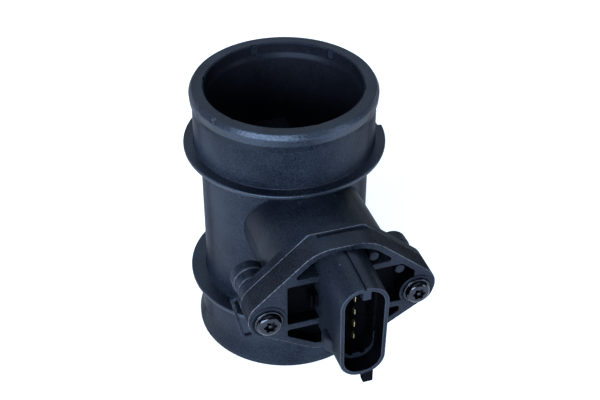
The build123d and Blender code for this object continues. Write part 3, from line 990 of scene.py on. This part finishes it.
key_middle = 1.1
key_level = 80.8
key_width = 2.9
key_height = 5.6
key_edge = 0.25
key_front = socket_rim - 1.4
key_corners = box_corners(key_middle, key_level, key_width, key_height, key_edge)
key_steps = [
    (socket_floor - overcut, 0.0),
    (key_front - key_edge, 0.0),
    (key_front - 0.07, 0.07),
    (key_front, key_edge),
]
probe_mesh = combine(probe_mesh, stacked_mesh("key", key_corners, key_steps, fineness=4), "UNION")
lug_root = 46.4
lug_bottom = 41.2
lug_left = 0.5
lug_right = 4.1
lug_edge = 0.25
lug_corners = [
    (-socket_rim, lug_root, 0),
    (-socket_rim, lug_bottom, 0.4),
    (2.3 - socket_rim, lug_bottom, 0.8),
    (7.0 - socket_rim, lug_root, 0),
]
lug = stacked_mesh("lug", lug_corners, bevelled(lug_left, lug_right, lug_edge), axis="X")
probe_mesh = combine(probe_mesh, lug, "UNION")
wedge_root = -7.85
wedge_crest = -10.4
wedge_low = 51.5
wedge_high = 57.5
wedge_corners = [
    (wedge_root, -74.0, 0),
    (wedge_crest, -74.4, 1.3),
    (wedge_crest, -79.0, 1.6),
    (wedge_root, -83.0, 0),
]
wedge_ends = ((0.0, 0.9), (0.25, 0.4), (0.7, 0.1), (1.3, 0.0))
wedge_steps = [(wedge_low + rise, inset) for rise, inset in wedge_ends]
wedge_steps += [(wedge_high - rise, inset) for rise, inset in reversed(wedge_ends)]
wedge = stacked_mesh("wedge", wedge_corners, wedge_steps, axis="Z", fineness=10)
probe_mesh = combine(probe_mesh, wedge, "UNION")
groove_left = -0.8
groove_right = 0.2
groove_depth = 0.6
groove_rings = []
for depth in (front_plane + 0.05, socket_rim + overcut):
    low = branch_level + socket_height / 2 - groove_depth + (socket_rim - depth) * socket_draft
    high = low + 3
    groove_rings.append([
        (groove_left, -depth, low),
        (groove_right, -depth, low),
        (groove_right, -depth, high),
        (groove_left, -depth, high),
    ])
probe_mesh = combine(probe_mesh, skin_mesh("groove", groove_rings), "DIFFERENCE")

# The neck and the arm keep their solid form behind the flange
inner_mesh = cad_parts["probe_body"].data.copy()
inner_work = bmesh.new()
inner_work.from_mesh(inner_mesh)
bmesh.ops.remove_doubles(inner_work, verts=inner_work.verts, dist=tiny)
inner_work.to_mesh(inner_mesh)
inner_work.free()
arm_reach = 40.0
core_radius = 17.0
core_end = 60.1
keep_path = [
    (0, -arm_reach),
    (arm_reach, -arm_reach),
    (arm_reach, joint_plane),
    (core_radius, joint_plane),
    (core_radius, core_end),
    (0, core_end),
]
keep = lathe_mesh("keep", keep_path, 160, (0, branch_level))
inner_mesh = combine(inner_mesh, keep, "INTERSECT")
probe_mesh = combine(probe_mesh, inner_mesh, "UNION")
screw_clearance = 2.6
hole_path = rod_path(screw_clearance, joint_plane - 3.85, front_plane + 1.8)
for place in screw_places:
    hole = lathe_mesh("hole", hole_path, 64, place)
    probe_mesh = combine(probe_mesh, hole, "DIFFERENCE")
pin_count = 4
pin_pitch = 5.63
pin_middle = -0.5
slot_width = 0.84
slot_height = 2.84
slot_back = 59.5
slot_front = 76.0
slot_steps = [(slot_back, 0.0), (slot_front, 0.0)]
pin_levels = [branch_level + (number - 1.5) * pin_pitch for number in range(pin_count)]
for level in pin_levels:
    slot = stacked_mesh("slot", box_corners(pin_middle, level, slot_width, slot_height), slot_steps)
    probe_mesh = combine(probe_mesh, slot, "DIFFERENCE")
probe = finish_piece("probe", probe_mesh, probe_plastic, ["probe_body"])

# Finishes of the flange's grained sides, and of the recesses: dull, and painted near-black as shade
grained_plastic = moulded_plastic(
    "grained_plastic",
    deep=(0.001, 0.001, 0.0015),
    pale=(0.02, 0.0235, 0.034),
    shine=0.5,
    grain_size=0.45,
    grain_depth=0.16,
    level=0.1,
)
# Near-black plastic for painted shade in the pockets and the socket
recess_painted_shade = moulded_plastic(
    "recess_painted_shade",
    deep=(0.0006, 0.0006, 0.001),
    pale=(0.002, 0.002, 0.003),
    shine=0.55,
    grain_size=0.5,
    grain_depth=0.03,
    level=0.03,
)


def outline_gap(place):
    """How far a point lies inside the straight sides of the keyed flange."""
    across = abs(place.x)
    shoulder = branch_level + flange_top - (across - top_half) * shoulder_slope
    heel = branch_level - flange_bottom + (across - keyed_corners(front_top_round)[3][0]) * heel_slope
    return min(
        branch_level + flange_top - place.z,
        (shoulder - place.z) / math.hypot(1, shoulder_slope),
        screw_half_span + end_reach - across,
        (place.z - heel) / math.hypot(1, heel_slope),
        place.z - branch_level + flange_bottom,
    )


def on_flange_side(place, facing):
    """The flange's outer sides, which keep the coarse grain of the mould."""
    between = joint_plane + 0.2 < -place.y < front_plane - 0.3
    return between and abs(facing.y) < 0.1 and abs(place.x) > top_half + 0.5 and outline_gap(place) < 1.3


def on_socket_rim(place, facing):
    """The rounded edges of the socket's rim."""
    return -place.y > socket_rim - 0.3 and 0.1 < -facing.y < 0.97


def in_recess(place, facing):
    """The walls and floors of the pockets and the socket, the small ribs and the lug's front below the
    socket, all painted dark as shade.
    """
    depth = -place.y
    in_pocket = pocket_floor - 0.1 < depth < front_plane - 0.3
    in_socket = joint_plane + 2.5 < depth < socket_rim - 0.3 and abs(place.x) < socket_width / 2 - 1.2
    is_wall = facing.xz.dot(place.xz - Vector((0, branch_level))) < 0
    is_floor = -facing.y > 0.9 and depth < socket_step - 0.2
    if (in_pocket or in_socket) and (is_wall or is_floor):
        return True
    on_ribs = rib_places[1] - 0.5 < place.x < rib_places[0] + 0.5 and abs(place.z - rib_level) < 2.8
    if on_ribs and pocket_floor < depth < pocket_floor + 4.5 and abs(facing.y) < 0.5:
        return True
    below_socket = place.z < branch_level - socket_height / 2 - 0.2
    return below_socket and depth > 80 and -facing.y > 0.5


def on_flange_edge(place, facing):
    """The rounded edges of the flange, at its front and at the joint, which get a painted highlight."""
    depth = -place.y
    at_edge = front_plane - 0.2 < depth < front_plane or joint_plane < depth < joint_plane + 0.3
    return at_edge and 0.1 < abs(facing.y) < 0.97 and outline_gap(place) < 1.5


paint_faces(probe, grained_plastic, on_flange_side)
paint_faces(probe, worn_plastic, on_socket_rim)
paint_faces(probe, recess_painted_shade, in_recess)
paint_faces(probe, edge_highlight_and_scratch, on_flange_edge)


# ---------------------------------------------------------------------------
# Four flat blade terminals of gold-flashed bronze, moulded into the probe, and
# the tree of nodes that sets equal pieces out in a line.
# ---------------------------------------------------------------------------
def line_tree(name, finish):
    """A node tree that repeats a piece in a line, by a count and a step."""
    inputs = {"Count": "NodeSocketInt", "Step": "NodeSocketVector"}
    tree, entry, result = open_tree(name, inputs)
    line = tree.nodes.new("GeometryNodeMeshLine")
    line.mode = "OFFSET"
    join(entry, "Count", line, "Count")
    join(entry, "Step", line, "Offset")
    close_tree(tree, entry, result, line, finish)
    return tree


def metal(name, colour, dull_colour, shine, streak):
    """Drawn or plated metal, with faint streaks in its colour and its gloss."""
    finish, nodes, shader = new_finish(name)
    tune(shader, {"Metallic": 1.0})
    place = nodes.new("ShaderNodeTexCoord")
    stretch = nodes.new("ShaderNodeMapping")
    tune(stretch, {"Scale": streak})
    join(place, "Object", stretch, "Vector")
    streaks = nodes.new("ShaderNodeTexNoise")
    tune(streaks, {"Scale": 900.0, "Detail": 4.0})
    join(stretch, "Vector", streaks, "Vector")
    tone = nodes.new("ShaderNodeMix")
    tone.data_type = "RGBA"
    tune(tone, {"A": (*colour, 1), "B": (*dull_colour, 1)})
    join(streaks, "Fac", tone, "Factor")
    join(tone, "Result", shader, "Base Color")
    gloss = nodes.new("ShaderNodeMapRange")
    tune(gloss, {"To Min": shine - 0.08, "To Max": shine + 0.12})
    join(streaks, "Fac", gloss, "Value")
    join(gloss, "Result", shader, "Roughness")
    bump = nodes.new("ShaderNodeBump")
    tune(bump, {"Strength": 0.3, "Distance": 0.004 * millimetre})
    join(streaks, "Fac", bump, "Height")
    join(bump, "Normal", shader, "Normal")
    return finish


contact_metal = metal("contact_metal", (0.95, 0.85, 0.52), (0.62, 0.5, 0.24), 0.3, (1.0, 0.06, 1.0))
blade_width = 0.8
blade_height = 2.8
blade_back = 38.5
blade_shoulder = 79.1
blade_tip = 80.3
blade_corners = box_corners(pin_middle, pin_levels[0], blade_width, blade_height, 0.14)
blade_steps = [(blade_back, 0.1), (blade_back + 0.1, 0.0), (blade_shoulder, 0.0), (blade_tip, 0.34)]
blades = grown(
    "blades",
    stacked_mesh("blade", blade_corners, blade_steps, fineness=3),
    line_tree("row_of_blades", contact_metal),
    {"Count": pin_count, "Step": (0, 0, pin_pitch * millimetre)},
)
blade_nodes = ["terminal_1", "terminal_2", "terminal_3", "terminal_4"]
terminals = finish_piece("terminals", blades, contact_metal, blade_nodes)

# The blades' flanks behind their bevelled tips are dull, and painted as a much darker copy of the contact
# metal for shade
flank_painted_shade = metal("flank_painted_shade", (0.05, 0.035, 0.015), (0.03, 0.022, 0.012), 0.45, (1.0, 0.06, 1.0))
paint_faces(terminals, flank_painted_shade, lambda place, facing: -place.y < blade_shoulder)

# ---------------------------------------------------------------------------
# Two tamper-proof screws in black-coated steel, with a pressed-on washer face
# and a six-lobed recess round a centre pin.
# ---------------------------------------------------------------------------
screw_steel = metal("screw_steel", (0.05, 0.053, 0.066), (0.028, 0.03, 0.038), 0.11, (1.0, 1.0, 1.0))
screw_end = 49.2
thread_radius = 2.0
washer_radius = 5.1
washer_rise = 0.75
head_radius = 4.5
head_rise = 2.8
screw_path = rounded_path(
    [
        (0, screw_end, 0),
        (thread_radius - 0.8, screw_end, 0.1),
        (thread_radius, screw_end + 1.2, 0.1),
        (thread_radius, front_plane, 0.1),
        (washer_radius, front_plane, 0.1),
        (washer_radius, front_plane + washer_rise, 0.3),
        (head_radius, front_plane + washer_rise + 0.1, 0.12),
        (head_radius - 0.2, front_plane + head_rise, 1.5),
        (0, front_plane + head_rise, 0),
    ],
    5,
    closed=False,
)
screw_place = screw_places[0]
screw = lathe_mesh("screw", screw_path, 96, screw_place)
lobe_count = 6
lobe_middle = 2.15
lobe_swing = 0.3
lobe_points = 72
recess_floor = 1.2
lobes = []
for depth in (front_plane + recess_floor, front_plane + head_rise + 0.4):
    ring = []
    for step in range(lobe_points):
        angle = 2 * math.pi * step / lobe_points
        radius = lobe_middle + lobe_swing * math.cos(lobe_count * angle)
        ring.append((
            screw_place[0] + radius * math.cos(angle),
            -depth,
            screw_place[1] + radius * math.sin(angle),
        ))
    lobes.append(ring)
screw = combine(screw, skin_mesh("lobes", lobes), "DIFFERENCE")
guard_radius = 0.7
guard_foot = front_plane + 0.8
guard_top = front_plane + 2.6
guard_corners = [
    (0, guard_foot, 0),
    (guard_radius, guard_foot, 0),
    (guard_radius, guard_top, 0.2),
    (0, guard_top, 0),
]
guard_path = rounded_path(guard_corners, 3, closed=False)
screw = combine(screw, lathe_mesh("guard", guard_path, 32, screw_place), "UNION")
screws = grown(
    "screws",
    screw,
    line_tree("pair_of_screws", screw_steel),
    {"Count": 2, "Step": (2 * screw_half_span * millimetre, 0, 0)},
)
finish_piece("flange_screws_fine", screws, screw_steel, ["flange_screws"])

# ---------------------------------------------------------------------------
# Hidden pieces: lid, cover, seal, metal plates, ceramic board with its chips,
# and the hot-film element.  They keep their solid shape, and each gets the
# finish of what it is made of: two colours, gloss, grain size and grain depth.
# ---------------------------------------------------------------------------
cover_plastic = moulded_plastic(
    "cover_plastic", (0.013, 0.015, 0.019), (0.024, 0.027, 0.033), 0.5, 0.4, 0.02
)
seal_rubber = moulded_plastic("seal_rubber", (0.008, 0.008, 0.009), (0.016, 0.016, 0.017), 0.62, 0.5, 0.01)
plate_metal = metal("plate_metal", (0.62, 0.63, 0.65), (0.5, 0.51, 0.53), 0.35, (1.0, 0.1, 1.0))
bond_metal = metal("bond_metal", (0.82, 0.82, 0.83), (0.7, 0.71, 0.72), 0.28, (1.0, 0.1, 1.0))
ceramic = moulded_plastic("ceramic", (0.62, 0.61, 0.58), (0.72, 0.71, 0.68), 0.5, 0.2, 0.004)
chip_resin = moulded_plastic("chip_resin", (0.014, 0.014, 0.015), (0.024, 0.024, 0.026), 0.55, 0.15, 0.005)
capacitor_body = moulded_plastic("capacitor_body", (0.33, 0.24, 0.15), (0.42, 0.32, 0.21), 0.4, 0.15, 0.003)
silicon = moulded_plastic("silicon", (0.05, 0.055, 0.075), (0.08, 0.085, 0.11), 0.16, 0.15, 0.001)
kept_finishes = {
    "bay_lid": cover_plastic,
    "duct_cover": cover_plastic,
    "seal_ring": seal_rubber,
    "base_plate": plate_metal,
    "element_carrier": plate_metal,
    "ribbon_bonds": bond_metal,
    "circuit_board": ceramic,
    "control_chip": chip_resin,
    "driver_chip": chip_resin,
    "resistors": chip_resin,
    "capacitors": capacitor_body,
    "hot_film_element": silicon,
}
for name, finish in kept_finishes.items():
    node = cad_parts[name]
    node.data.materials.clear()
    node.data.materials.append(finish)
